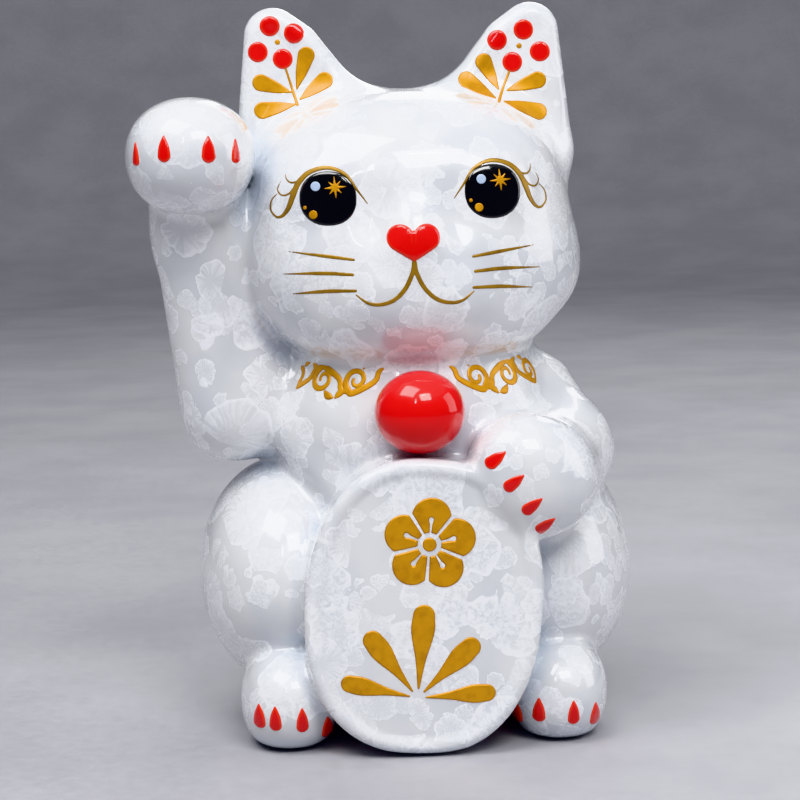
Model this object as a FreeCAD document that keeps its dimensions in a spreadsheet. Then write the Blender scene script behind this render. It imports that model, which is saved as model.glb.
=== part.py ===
# Beckoning cat figurine and money bank: a glazed slip-cast cat, 200 mm tall, as a parametric document.
#
# The cat sits facing -Y with its right paw raised and its left paw on an oval coin plaque. Right and left are
# the cat's own sides, so the raised arm is at -X. The origin is the middle of the standing face, with +Z up.
# The hollow torso and head, the two arms, the plaque, the bell and the tail are made apart and luted face to
# face. Raised enamel and gold lie on the glaze as thin separate solids. A soft stopper closes the drain hole.
import FreeCAD, Part
import math
import os
import re

import Sketcher
from FreeCAD import Placement, Rotation, Vector

doc = FreeCAD.newDocument("beckoning_cat")
sheet = doc.addObject("Spreadsheet::Sheet", "Dimensions")

# Driving dimensions in millimetres. An ellipsoid has radii half (along X), deep (Y) and tall (Z).
DIMENSIONS = {
    # torso
    "wall": 4.2,
    "belly_half": 44, "belly_deep": 44, "belly_tall": 54, "belly_y": 3, "belly_z": 50,
    "haunch_half": 24.4, "haunch_deep": 40, "haunch_tall": 32, "haunch_x": 36, "haunch_y": -2, "haunch_z": 42,
    "chest_half": 40, "chest_deep": 36, "chest_tall": 24, "chest_y": -2, "chest_z": 84,
    "base_half": 47, "base_deep": 44, "base_tall": 28, "base_y": 6, "base_z": 16,
    "foot_x": 36.7, "foot_y": -31, "foot_z": 11, "foot_half": 13.6, "foot_deep": 19.5, "foot_tall": 16.5,
    "neck_radius": 36, "neck_low": 80, "neck_top": 114, "neck_bore": 28,
    # head and ears
    "skull_half": 46, "skull_deep": 42, "skull_tall": 37, "skull_y": 0, "skull_z": 140,
    "cheek_half": 48.2, "cheek_deep": 42, "cheek_tall": 22, "cheek_y": -2, "cheek_z": 126,
    "muzzle_x": 8, "muzzle_y": -37, "muzzle_z": 121, "muzzle_half": 11, "muzzle_deep": 9.5, "muzzle_tall": 9,
    "ear_front": 9, "ear_back": 7, "ear_edge": 3,
    "ear_tip_x": 35.2, "ear_tip_z": 192, "ear_tip_round": 8,
    "ear_outer_x": 40, "ear_outer_z": 160, "ear_outer_round": 8,
    "ear_inner_x": 16, "ear_inner_z": 164, "ear_inner_round": 10,
    "slot_long": 34, "slot_wide": 3.6, "slot_front": 20, "slot_z": 152,
    # raised right arm: elbow, wrist and paw
    "elbow_x": -50, "elbow_y": -8, "elbow_z": 88, "elbow_radius": 14.5,
    "wrist_x": -58.7, "wrist_y": -13, "wrist_z": 147, "wrist_radius": 13.2,
    "paw_x": -59, "paw_y": -25, "paw_z": 160, "paw_half": 17.4, "paw_deep": 20, "paw_tall": 16,
    # left arm across the chest: shoulder, elbow, and a paw laid on the plaque
    "shoulder_x": 34, "shoulder_y": -2, "shoulder_z": 88, "shoulder_radius": 11,
    "bend_x": 40.5, "bend_y": -16, "bend_z": 77, "bend_radius": 12.7,
    "hand_x": 28, "hand_y": -45, "hand_z": 73, "hand_half": 15.5, "hand_deep": 12.5, "hand_tall": 14,
    "hand_radius": 12, "vent_radius": 3, "vent_long": 30,
    # plaque, bell and tail
    "plaque_half": 32, "plaque_tall": 39.2, "plaque_x": -1, "plaque_y": -54, "plaque_z": 40.5,
    "plaque_thick": 17, "plaque_edge": 2.5, "plaque_rim": 5, "plaque_sink": 1,
    "bell_y": -43.5, "bell_z": 91, "bell_half": 12.1, "bell_deep": 11, "bell_tall": 11.2,
    "tail_root_x": 6, "tail_root_y": 40, "tail_root_z": 15, "tail_root_radius": 7.5,
    "tail_end_x": 24, "tail_end_y": 40, "tail_end_z": 27, "tail_end_radius": 8.5,
    # drain hole and its stopper
    "recess_radius": 24, "recess_deep": 3, "floor_top": 8, "drain_radius": 12,
    "plug_gap": 0.08, "plug_top": 9.5, "plug_lead": 1.5, "lead_inset": 0.8,
    "flange_gap": 0.3, "flange_radius": 15.5, "flange_thick": 1.6, "thumb_radius": 7.5, "thumb_top": 6,
    # enamel and gold
    "coat": 0.45, "air": 0.02,
    "eye_x": 21.8, "eye_z": 148.5, "eye_radius": 7.4,
    "glint_x": -3.1, "glint_z": 3.2, "glint_radius": 1.3,
    "star_x": 2.2, "star_z": 2.4, "ray_long": 3, "ray_wide": 0.5,
    "dot_x": -3.6, "dot_z": -4.2, "dot_radius": 1.1,
    "lid_radius": 8.7, "line_wide": 1, "lash_reach": 11, "lash_radius": 2.2, "lash_wide": 0.7,
    "nose_x": 3.3, "nose_y": -41.6, "nose_z": 137.5, "nose_half": 3.9, "nose_deep": 3, "nose_tall": 3,
    "nose_tip_z": 135, "nose_tip_half": 3.6, "nose_tip_tall": 4.2,
    "mouth_x": 7.2, "mouth_z": 127, "mouth_radius": 7.2, "philtrum_z": 128.4, "philtrum_long": 2.1,
    "whisker_x": 27, "whisker_z": 127.6, "whisker_step": 5, "whisker_long": 9.2, "whisker_wide": 0.55,
    "spray_x": 33.5, "spray_z": 189, "spray_ring": 4.2, "berry_radius": 2.7,
    "stalk_x": 28.5, "stalk_z": 173.5, "leaf_long": 4.4, "leaf_wide": 1.7, "pip_radius": 1,
    "scroll_z": 99.6, "scroll_pitch": 7.4, "scroll_radius": 3.4, "scroll_inner": 1.5, "scroll_wide": 1.2,
    "claw_half": 0.8, "claw_tall": 2.7,
    "blossom_z": 17, "petal_ring": 7.4, "petal_radius": 5.2, "heart_radius": 2.8, "stamen_radius": 1.6,
    "sprig_z": -20, "sprig_reach": 13, "sprig_leaf_long": 10.5, "sprig_leaf_wide": 3.4,
}
SIDES = {"right": -1, "left": 1}  # as signs of X
HAND_ANGLE = 55  # how far the left paw turns down from lying across the chest
HAND_TURN = Rotation(Vector(0, 1, 0), HAND_ANGLE)
PLAQUE_LEAN, PLAQUE_TIP = 6, -3  # the plaque leans to the cat's left, and its top tips back
PLAQUE_TURN = Rotation(Vector(0, 1, 0), PLAQUE_LEAN).multiply(Rotation(Vector(1, 0, 0), PLAQUE_TIP))

# Drawn angles are in degrees, and 0 points away from the cat's middle. An arc is (start, sweep).
LID_ARC, LASH_ARC, LIP_ARC = (15, 150), (60, 200), (180, 145)
CURL_ARC, CURL_HEART_ARC = (90, 260), (270, 200)
LASHES = (38, 12, -14)  # about the eye's centre
EAR_LEAVES = ((142, 5.6), (110, 9.2), (40, 7.6), (-10, 5.4))  # (angle, reach) from the stalk's foot
BERRIES = (20, 110, 200, 290)
WHISKERS = ((1, 6), (0, -2), (-0.9, -6))  # (steps above the middle one, angle upwards)
PETALS = (18, 90, 162, 234, 306)
SPRIG_ANGLES = (10, 50, 90, 130, 170)
STAR_TURNS = (0, 45, 90, 135)

# claws as (across, along) from the paw's centre, before the paw is turned
RAISED_CLAWS = ((-13.9, 0.7), (-6.4, 2.6), (5.3, 2), (12.3, 0.7))
HAND_CLAWS = ((-10.6, -4.2), (-3.1, -4.2), (5, -4.2), (11.4, -4.2))
FOOT_CLAWS = ((9.2, -0.6), (4, 0), (-3.4, -0.4), (-9.6, -2))

for row, (alias, value) in enumerate(DIMENSIONS.items(), start=1):
    sheet.set(f"A{row}", alias)
    sheet.set(f"B{row}", str(value))
    sheet.setAlias(f"B{row}", alias)
doc.recompute()

ALIAS = re.compile(r"\b[a-z]+(?:_[a-z]+)*\b")
PRISM_FRONT, PRISM_BACK = -70, 5  # the prisms that carry a drawing on to a curved surface run between these
SPACE = 250  # more than the cat's size, for tools that take all of one side
CLEAR = 5  # how far a cutting tool runs past what it cuts
TINY = 1e-3
TOWARDS_BACK = Rotation(Vector(1, 0, 0), -90)  # turns +Z to +Y
TOWARDS_FRONT = Rotation(Vector(1, 0, 0), 90)  # turns +Z to -Y and +Y to +Z
POLES_ASIDE = Rotation(Vector(0, 1, 0), 90)  # turns +Z to +X
UPRIGHT = Rotation(Vector(0, 0, 1), Vector(1, 0, 0), Vector(0, 1, 0))  # sets a ring's long axis along Z
names_used = set()


def linked(formula):
    """A formula in aliases as an expression that follows the sheet."""
    def prefix(found):
        word = found.group(0)
        return f"Dimensions.{word}" if word in DIMENSIONS else word
    return ALIAS.sub(prefix, str(formula))


def size(alias):
    """A dimension as a number, for where an expression can't go."""
    return float(sheet.get(alias))


def unused(name):
    """An object name that is still free in the document."""
    number, free = 1, name
    while free in names_used:
        number += 1
        free = f"{name}_{number}"
    names_used.add(free)
    return free


def bind(thing, formulas):
    for prop, formula in formulas.items():
        thing.setExpression(prop, linked(formula))


def place(thing, at, rotation=None):
    """Puts thing at three formulas, turned by a fixed rotation."""
    if rotation:
        thing.Placement = Placement(Vector(), rotation)
    bind(thing, {f"Placement.Base.{axis}": formula for axis, formula in zip("xyz", at)})
    return thing


def stem_point(stem):
    """The three formulas of a point whose aliases start with stem."""
    return [f"{stem}_{axis}" for axis in "xyz"]


# ---------------------------------------------------------------- primitives and booleans


def ellipsoid(name, at, radii, rotation=Rotation(), upright=False):
    """An ellipsoid, its radii along X, Y and Z before its rotation. Its poles lie along X, or Z if upright."""
    body = doc.addObject("Part::Ellipsoid", unused(name))
    wide, deep, tall = radii
    if upright:
        bind(body, {"Radius1": tall, "Radius2": wide, "Radius3": deep})
        return place(body, at, rotation)
    bind(body, {"Radius1": wide, "Radius2": tall, "Radius3": deep})
    return place(body, at, rotation.multiply(POLES_ASIDE))


def mass(stem, grow="0", x=None, rotation=Rotation(), upright=False):
    """The ellipsoid whose aliases start with stem, grown by a formula on every side."""
    centre_x = x or (f"{stem}_x" if f"{stem}_x" in DIMENSIONS else "0")
    radii = [f"{stem}_{way} + {grow}" for way in ("half", "deep", "tall")]
    return ellipsoid(f"{stem}_mass", (centre_x, f"{stem}_y", f"{stem}_z"), radii, rotation, upright)


def mirrored(stem, grow="0"):
    """The same ellipsoid on both of the cat's sides."""
    return [mass(stem, grow, f"{side} * {stem}_x") for side in (-1, 1)]


def cylinder(name, at, radius, height, rotation=None, sweep=360):
    body = doc.addObject("Part::Cylinder", unused(name))
    bind(body, {"Radius": radius, "Height": height, "Angle": sweep})
    return place(body, at, rotation)


def block(name, at, lengths):
    body = doc.addObject("Part::Box", unused(name))
    bind(body, dict(zip(("Length", "Width", "Height"), lengths)))
    return place(body, at)


def fuse(name, pieces):
    body = doc.addObject("Part::MultiFuse", unused(name))
    body.Shapes = pieces
    body.Refine = False
    return body


def fuse_all(name, pieces):
    """One piece as it is, or several fused."""
    return fuse(name, pieces) if len(pieces) > 1 else pieces[0]


def boolean(kind, name, base, tool):
    body = doc.addObject(f"Part::{kind}", unused(name))
    body.Base = base
    body.Tool = tool
    body.Refine = False
    return body


def cut(name, base, *tools):
    return boolean("Cut", name, base, fuse_all(f"{name}_tools", list(tools)))


def common(name, base, tool):
    return boolean("Common", name, base, tool)


def limb(start, end, grow="0"):
    """A tapered sausage between two balls, whose aliases start with start and end."""
    first, last = (Vector(*[size(alias) for alias in stem_point(stem)]) for stem in (start, end))
    cone = doc.addObject("Part::Cone", unused(f"{start}_cone"))
    reach = " + ".join(f"({end}_{axis} - {start}_{axis})^2" for axis in "xyz")
    radii = [f"{stem}_radius + {grow}" for stem in (start, end)]
    bind(cone, {"Radius1": radii[0], "Radius2": radii[1], "Height": f"sqrt({reach})"})
    place(cone, stem_point(start), Rotation(Vector(0, 0, 1), last - first))
    balls = [
        ellipsoid(f"{stem}_ball", stem_point(stem), [radius] * 3)
        for stem, radius in zip((start, end), radii)
    ]
    return [cone, *balls]


def above(name, solid, level):
    """What of a solid lies above a level."""
    space = block(f"{name}_space", (-SPACE, -SPACE, level), (2 * SPACE, 2 * SPACE, 2 * SPACE))
    return common(name, solid, space)


def in_front(name, solid, back):
    """What of a solid lies in front of a depth."""
    space = block(f"{name}_space", (-SPACE, -SPACE, -SPACE), (2 * SPACE, f"{SPACE} + {back}", 2 * SPACE))
    return common(name, solid, space)


# ---------------------------------------------------------------- drawings, as prisms along Y


def outwards(side, angle):
    """An angle counted from the direction away from the cat's middle, as one anticlockwise from +X."""
    return angle if side > 0 else 180 - angle


def disc(name, x, z, radius):
    return cylinder(name, (x, PRISM_FRONT, z), radius, PRISM_BACK - PRISM_FRONT, TOWARDS_BACK)


def arc(name, x, z, radius, wide, span, side=1):
    """A stretch of a ring. Its span is a start angle and a sweep, mirrored on the cat's right."""
    start, sweep = span
    first = outwards(side, start if side > 0 else start + sweep)
    turn = TOWARDS_FRONT.multiply(Rotation(Vector(0, 0, 1), first))
    long = PRISM_BACK - PRISM_FRONT
    outer = cylinder(f"{name}_outer", (x, PRISM_BACK, z), f"{radius} + {wide} / 2", long, turn, sweep)
    inner = cylinder(
        f"{name}_inner", (x, PRISM_BACK + CLEAR, z), f"{radius} - {wide} / 2", long + 2 * CLEAR, turn
    )
    return cut(name, outer, inner)


def stroke(name, x, z, long, wide, turn):
    """A brush stroke with pointed ends, half long and half wide as given: where two discs overlap."""
    radius = f"(({long})^2 + ({wide})^2) / (2 * {wide})"
    sides = [
        disc(f"{name}_side", *ray_point(x, z, f"({radius} - {wide})", turn + side), radius)
        for side in (-90, 90)
    ]
    return common(name, *sides)


def ray_point(x, z, reach, angle):
    """The formulas of the point at a reach and an angle, in degrees, from (x, z)."""
    spin = math.radians(angle)
    return f"{x} + {reach} * {math.cos(spin):.4f}", f"{z} + {reach} * {math.sin(spin):.4f}"


def coat_over(name, masses, back, level=1):
    """The front of a coat over masses(grow). Level 1 lies on the glaze, and level 2 on level 1."""
    under = f"{level} * air + {level - 1} * coat"
    over = fuse_all(f"{name}_over", masses(f"{under} + coat"))
    return in_front(name, cut(f"{name}_all_round", over, fuse_all(f"{name}_under", masses(under))), back)


def drawn_on(name, drawing, coat_layer):
    """A drawing laid on a coat layer."""
    return common(name, fuse_all(f"{name}_drawing", drawing), coat_layer)


# ---------------------------------------------------------------- ears, torso and head


def ear(side):
    """A rounded triangle padded through its thickness, with rounded rims: side is -1 for the cat's right."""
    body = doc.addObject("PartDesign::Body", unused("ear"))
    outline = body.newObject("Sketcher::SketchObject", unused("ear_outline"))
    plane = next(item for item in body.Origin.OriginFeatures if item.Role == "XZ_Plane")
    outline.AttachmentSupport = [(plane, "")]
    outline.MapMode = "FlatFace"
    corners = ["ear_tip", "ear_outer", "ear_inner"] if side < 0 else ["ear_tip", "ear_inner", "ear_outer"]
    centres = [Vector(side * size(f"{stem}_x"), size(f"{stem}_z"), 0) for stem in corners]
    rounds = [size(f"{stem}_round") for stem in corners]
    tangents = []
    for number, centre in enumerate(centres):
        following = (number + 1) % len(corners)
        along = centres[following] - centre
        lean = math.asin((rounds[number] - rounds[following]) / along.Length)
        facing = math.atan2(along.y, along.x) - math.pi / 2 + lean
        normal = Vector(math.cos(facing), math.sin(facing), 0)
        tangents.append((centre + normal * rounds[number], centres[following] + normal * rounds[following]))
    for number, (centre, radius) in enumerate(zip(centres, rounds)):
        arriving, leaving = tangents[number - 1][1] - centre, tangents[number][0] - centre
        start, stop = math.atan2(arriving.y, arriving.x), math.atan2(leaving.y, leaving.x)
        circle = Part.Circle(centre, Vector(0, 0, 1), radius)
        outline.addGeometry(Part.ArcOfCircle(circle, start, stop), False)
    for start, stop in tangents:
        outline.addGeometry(Part.LineSegment(start, stop), False)
    for number, (stem, centre) in enumerate(zip(corners, centres)):
        line = number + len(corners)
        outline.addConstraint(Sketcher.Constraint("Tangent", number, 2, line, 1))
        outline.addConstraint(Sketcher.Constraint("Tangent", line, 2, (number + 1) % len(corners), 1))
        radius = outline.addConstraint(Sketcher.Constraint("Radius", number, rounds[number]))
        across = outline.addConstraint(Sketcher.Constraint("DistanceX", -1, 1, number, 3, centre.x))
        up = outline.addConstraint(Sketcher.Constraint("DistanceY", -1, 1, number, 3, centre.y))
        bind(outline, {
            f"Constraints[{radius}]": f"{stem}_round",
            f"Constraints[{across}]": f"{side} * {stem}_x",
            f"Constraints[{up}]": f"{stem}_z",
        })
    pad = body.newObject("PartDesign::Pad", unused("ear_pad"))
    pad.Profile = outline
    pad.SideType = "Two sides"
    bind(pad, {"Length": "ear_front", "Length2": "ear_back"})
    doc.recompute()
    rims = [
        f"Edge{number}"
        for number, edge in enumerate(pad.Shape.Edges, start=1) if edge.BoundBox.YLength < TINY
    ]
    rounding = body.newObject("PartDesign::Fillet", unused("ear_rounding"))
    rounding.Base = (pad, rims)
    bind(rounding, {"Radius": "ear_edge"})
    body.Tip = rounding
    return body


def torso_masses(grow):
    return [mass("belly", grow), mass("chest", grow), mass("base", grow), *mirrored("haunch", grow)]


def skull_masses(grow):
    return [mass("skull", grow), mass("cheek", grow)]


def face_masses(grow):
    return [*skull_masses(grow), *mirrored("muzzle", grow)]


def neck_bore():
    return cylinder("neck_bore", (0, 0, "neck_low"), "neck_bore", "skull_z - neck_low")


def raised_arm_masses(grow):
    return [*limb("elbow", "wrist", grow), mass("paw", grow, upright=True)]


head_form = fuse("head_form", [*face_masses("0"), ear(-1), ear(1)])
neck = cylinder("neck", (0, 0, "neck_low"), "neck_radius", "neck_top - neck_low")
torso_masses_fused = fuse("torso_masses", [*torso_masses("0"), *mirrored("foot"), neck])
torso_form = cut("torso_form", above("torso_above", torso_masses_fused, 0), head_form)

torso_hollow = above("torso_hollow", fuse("torso_hollow_masses", torso_masses("-wall")), "floor_top")
recess = cylinder("recess", (0, 0, 0), "recess_radius", "recess_deep")
drain = cylinder("drain", (0, 0, 0), "drain_radius", f"floor_top + {CLEAR}")

head_hollow = fuse("head_hollow", skull_masses("-wall"))
slot_corner = ("-slot_long / 2", "slot_front", "slot_z - slot_wide / 2")
slot = block("slot", slot_corner, ("slot_long", SPACE, "slot_wide"))
head_shell = cut("head_shell", head_form, head_hollow, neck_bore(), slot)

# ---------------------------------------------------------------- arms, plaque, bell and tail

arm_form = fuse("raised_arm_form", raised_arm_masses("0"))
arm_hollow = fuse("raised_arm_hollow", raised_arm_masses("-wall"))
vent = cylinder("vent", stem_point("elbow"), "vent_radius", "vent_long", Rotation(Vector(0, 1, 0), 90))
raised_arm = cut("raised_arm", arm_form, head_form, torso_form, arm_hollow, vent)
body_shell = cut("body_shell", torso_form, torso_hollow, neck_bore(), recess, drain, vent)


def oval(name, shrink, front, thick):
    """An oval plate in the plaque's own frame, from a depth in front of its face to a thickness behind."""
    ring = doc.addObject("Part::Ellipse", unused(f"{name}_ring"))
    ring.Placement = Placement(Vector(), UPRIGHT)
    bind(ring, {
        "MajorRadius": f"plaque_tall - {shrink}",
        "MinorRadius": f"plaque_half - {shrink}",
        "Placement.Base.y": front,
    })
    plate = doc.addObject("Part::Extrusion", unused(name))
    plate.Base = ring
    plate.DirMode = "Custom"
    plate.Dir = Vector(0, 1, 0)
    plate.Solid = True
    bind(plate, {"LengthFwd": thick})
    return plate


def on_plaque(thing):
    """Moves a thing from the plaque's own frame to its place on the cat."""
    return place(thing, stem_point("plaque"), PLAQUE_TURN)


plaque_plate = oval("plaque_plate", "0", "0", "plaque_thick")
doc.recompute()
plaque_rounded = doc.addObject("Part::Fillet", unused("plaque_rounded"))
plaque_rounded.Base = plaque_plate
plaque_rounded.Edges = [
    (number, size("plaque_edge"), size("plaque_edge"))
    for number, edge in enumerate(plaque_plate.Shape.Edges, start=1) if edge.BoundBox.YMax < TINY
]
plaque_face = oval("plaque_face", "plaque_rim", -CLEAR, f"{CLEAR} + plaque_sink")
plaque_form = on_plaque(cut("plaque_form", plaque_rounded, plaque_face))

hand_masses = [
    *limb("shoulder", "bend"),
    ellipsoid("hand_ball", stem_point("hand"), ["hand_radius"] * 3),
    mass("hand", rotation=HAND_TURN),
]
forearm = doc.addObject("Part::Cone", unused("forearm"))
hand_reach = " + ".join(f"(hand_{axis} - bend_{axis})^2" for axis in "xyz")
bind(forearm, {"Radius1": "bend_radius", "Radius2": "hand_radius", "Height": f"sqrt({hand_reach})"})
forearm_run = Vector(*[size(f"hand_{axis}") - size(f"bend_{axis}") for axis in "xyz"])
place(forearm, stem_point("bend"), Rotation(Vector(0, 0, 1), forearm_run))
hand_form = fuse("left_arm_form", [*hand_masses, forearm])

coin_plaque = cut("coin_plaque", plaque_form, torso_form)
left_arm = cut("left_arm", hand_form, head_form, torso_form, plaque_form)
bell = cut("bell", mass("bell"), torso_form, head_form, plaque_form, hand_form)
tail = cut("tail", fuse("tail_form", limb("tail_root", "tail_end")), torso_form)


flange_z = "recess_deep - flange_gap - flange_thick"
stopper_rings = [
    cylinder("stopper_flange", (0, 0, flange_z), "flange_radius", "flange_thick"),
    cylinder(
        "stopper_plug", (0, 0, f"{flange_z} + flange_thick / 2"), "drain_radius - plug_gap",
        f"plug_top - plug_lead - ({flange_z}) - flange_thick / 2",
    ),
]
stopper_lead = doc.addObject("Part::Cone", unused("stopper_lead"))
bind(stopper_lead, {
    "Radius1": "drain_radius - plug_gap",
    "Radius2": "drain_radius - plug_gap - lead_inset",
    "Height": "plug_lead",
    "Placement.Base.z": "plug_top - plug_lead",
})
thumb = cylinder("stopper_thumb", (0, 0, 0), "thumb_radius", "thumb_top")
drain_stopper = cut("drain_stopper_form", fuse("stopper_form", [*stopper_rings, stopper_lead]), thumb)

# ---------------------------------------------------------------- enamel and gold


def eye_enamel(side):
    return drawn_on("eye_enamel", [disc("pupil", f"{side} * eye_x", "eye_z", "eye_radius")], face_coat)


def in_both_eyes(part):
    """The pieces that part(x, z) makes at both eyes' centres, which look the same way."""
    return [piece for side in SIDES.values() for piece in part(f"{side} * eye_x", "eye_z")]


def highlight(x, z):
    return [disc("glint", f"{x} + glint_x", f"{z} + glint_z", "glint_radius")]


def sparkle(x, z):
    """An eight-pointed star and a dot."""
    star = [
        stroke("ray", f"{x} + star_x", f"{z} + star_z", "ray_long", "ray_wide", turn)
        for turn in STAR_TURNS
    ]
    return [*star, disc("dot", f"{x} + dot_x", f"{z} + dot_z", "dot_radius")]


def eyelid(side):
    """The line over an eye, with curled lashes at its outer end."""
    centre = (f"{side} * eye_x", "eye_z")
    lashes = [
        arc("lash", *ray_point(*centre, "lash_reach", outwards(side, angle)), "lash_radius", "lash_wide",
            (angle + LASH_ARC[0], LASH_ARC[1]), side)
        for angle in LASHES
    ]
    return [arc("lid", *centre, "lid_radius", "line_wide", LID_ARC, side), *lashes]


def nose_masses():
    """Two lobes over a tip, which make a heart from the front."""
    lobe_radii, tip_radii = [
        [f"{stem}_half", "nose_deep", f"{stem}_tall"] for stem in ("nose", "nose_tip")
    ]
    lobes = [
        ellipsoid("nose_lobe", (f"{side} * nose_x", "nose_y", "nose_z"), lobe_radii)
        for side in SIDES.values()
    ]
    return [*lobes, ellipsoid("nose_tip", (0, "nose_y", "nose_tip_z"), tip_radii)]


def mouth():
    """A curved lip on each side of the short line under the nose."""
    lips = [
        arc("lip", f"{side} * mouth_x", "mouth_z", "mouth_radius", "line_wide", LIP_ARC, side)
        for side in SIDES.values()
    ]
    return [*lips, stroke("philtrum", 0, "philtrum_z", "philtrum_long", "line_wide / 2", 90)]


def whiskers(side):
    return [
        stroke(
            "whisker", f"{side} * whisker_x", f"whisker_z + {steps} * whisker_step",
            "whisker_long", "whisker_wide", side * angle,
        )
        for steps, angle in WHISKERS
    ]


def berries(side):
    centre = (f"{side} * spray_x", "spray_z")
    return [disc("berry", *ray_point(*centre, "spray_ring", angle), "berry_radius") for angle in BERRIES]


def ear_leaves(side):
    """Four leaves round the foot of a stalk, and the pip between the berries."""
    leaves = []
    for angle, reach in EAR_LEAVES:
        around = outwards(side, angle)
        at = ray_point(f"{side} * stalk_x", "stalk_z", reach, around)
        leaves.append(stroke("leaf", *at, "leaf_long", "leaf_wide", around))
    return [*leaves, disc("pip", f"{side} * spray_x", "spray_z", "pip_radius")]


def scrolls():
    """Curls round the collar, by turns upwards and downwards, clear of the bell in the middle."""
    curls = []
    for side in SIDES.values():
        for number in (2, 3, 4):
            x = f"{side * number} * scroll_pitch"
            flip = 180 * (number % 2)
            for name, radius, (start, sweep) in (
                ("curl", "scroll_radius", CURL_ARC), ("curl_heart", "scroll_inner", CURL_HEART_ARC),
            ):
                curls.append(arc(name, x, "scroll_z", radius, "scroll_wide", (start + flip, sweep), side))
    return curls


def claws(offsets, x, z, turn=0, side=1):
    """Pointed nails at offsets from a paw's centre, turned clockwise with the paw."""
    spin = math.radians(turn)
    nails = []
    for across, along in offsets:
        dx = side * (across * math.cos(spin) + along * math.sin(spin))
        dz = along * math.cos(spin) - across * math.sin(spin)
        at = (f"{x} + {dx:.3f}", f"{z} + {dz:.3f}")
        nails.append(stroke("claw", *at, "claw_tall", "claw_half", 90 - turn))
    return nails


def ear_coat():
    """The layer in front of both ears."""
    return block("ear_coat", (-SPACE, "-ear_front - air - coat", "skull_z"), (2 * SPACE, "coat", SPACE))


def blossom():
    """A five-petalled plum blossom in the plaque's own frame, with a ring and a dot at its heart."""
    petals = [
        disc("petal", *ray_point("0", "blossom_z", "petal_ring", angle), "petal_radius")
        for angle in PETALS
    ]
    heart = disc("heart", "0", "blossom_z", "heart_radius")
    stamen = disc("stamen", "0", "blossom_z", "stamen_radius")
    return [cut("petals", fuse("petals_form", petals), heart), stamen]


def sprig():
    """Leaves that fan out from one point in the plaque's own frame."""
    return [
        stroke(
            "sprig_leaf", *ray_point("0", "sprig_z", "sprig_reach", angle),
            "sprig_leaf_long", "sprig_leaf_wide", angle,
        )
        for angle in SPRIG_ANGLES
    ]


face_coat = coat_over("face_coat", face_masses, "-5")
eye_coat = coat_over("eye_coat", skull_masses, "-5", level=2)
neck_coat = in_front("neck_coat", cut(
    "neck_coat_all_round",
    cylinder("neck_over", (0, 0, "neck_low"), "neck_radius + air + coat", "neck_top - neck_low"),
    cylinder("neck_under", (0, 0, "neck_low"), "neck_radius + air", "neck_top - neck_low"),
), "-2")
paw_coat = coat_over("paw_coat", lambda grow: [mass("paw", grow, upright=True)], "paw_y")
hand_coat = coat_over("hand_coat", lambda grow: [mass("hand", grow, rotation=HAND_TURN)], "hand_y")
foot_coats = {
    side: coat_over(
        f"{side}_foot_coat", lambda grow, sign=sign: [mass("foot", grow, f"{sign} * foot_x")], "foot_y"
    )
    for side, sign in SIDES.items()
}
ornament_slab = block(
    "ornament_slab", (-SPACE, "plaque_sink - air - coat", -SPACE), (2 * SPACE, "coat", 2 * SPACE)
)

nodes = {
    "body_shell": body_shell,
    "head_shell": head_shell,
    "raised_arm": raised_arm,
    "left_arm": left_arm,
    "coin_plaque": coin_plaque,
    "bell": bell,
    "tail": tail,
    "drain_stopper": drain_stopper,
    "eye_highlights": drawn_on("highlights", in_both_eyes(highlight), eye_coat),
    "eye_sparkles": drawn_on("sparkles", in_both_eyes(sparkle), eye_coat),
    "eyelid_lines": drawn_on("eyelids", [*eyelid(-1), *eyelid(1)], face_coat),
    "nose_enamel": cut("nose", fuse("nose_form", nose_masses()), fuse("nose_bed", face_masses("air"))),
    "mouth_line": drawn_on("mouth", mouth(), face_coat),
    "whisker_lines": drawn_on("whiskers", [*whiskers(-1), *whiskers(1)], face_coat),
    "collar_scrolls": drawn_on("scrolls", scrolls(), neck_coat),
    "raised_paw_claws": drawn_on("raised_claws", claws(RAISED_CLAWS, "paw_x", "paw_z"), paw_coat),
    "left_paw_claws": drawn_on("hand_claws", claws(HAND_CLAWS, "hand_x", "hand_z", HAND_ANGLE), hand_coat),
    "plaque_ornament": on_plaque(drawn_on("ornament", [*blossom(), *sprig()], ornament_slab)),
}
for side, sign in SIDES.items():
    nodes[f"{side}_eye_enamel"] = eye_enamel(sign)
    nodes[f"{side}_ear_berries"] = drawn_on(f"{side}_berries", berries(sign), ear_coat())
    nodes[f"{side}_ear_leaves"] = drawn_on(f"{side}_leaves", ear_leaves(sign), ear_coat())
    foot_claws = claws(FOOT_CLAWS, f"{sign} * foot_x", "foot_z", side=sign)
    nodes[f"{side}_foot_claws"] = drawn_on(f"{side}_claws", foot_claws, foot_coats[side])
for label, node in nodes.items():
    node.Label = label
doc.recompute()

# ---------------------------------------------------------------- checks and export

failed = [thing.Name for thing in doc.Objects if {"Invalid", "Error"} & set(thing.State)]
failed += [label for label, node in nodes.items() if node.Shape.isNull() or not node.Shape.isValid()]
failed += [label for label, node in nodes.items() if node.Label != label]
if failed:
    raise RuntimeError(f"these came out wrong: {failed}")

os.makedirs("parts", exist_ok=True)
for label, node in nodes.items():
    node.Shape.exportStep(f"parts/{label}.step")
    print(f"{label}: {len(node.Shape.Solids)} solids, {node.Shape.Volume:.1f} mm3")
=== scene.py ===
"""The looks of a glazed ceramic beckoning cat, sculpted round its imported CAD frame.

The castings are one smooth distance field, meshed once and split where one casting meets the next, so that the
glaze runs on over the joints. Enamel and gold are drawn as flat brush strokes, laid on the field's surface and
given their own raised thickness. Lengths in this file are millimetres until a mesh is made, in metres.
"""
import math
from collections import Counter

import bpy
import numpy as np
from mathutils import Matrix, Vector


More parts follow.
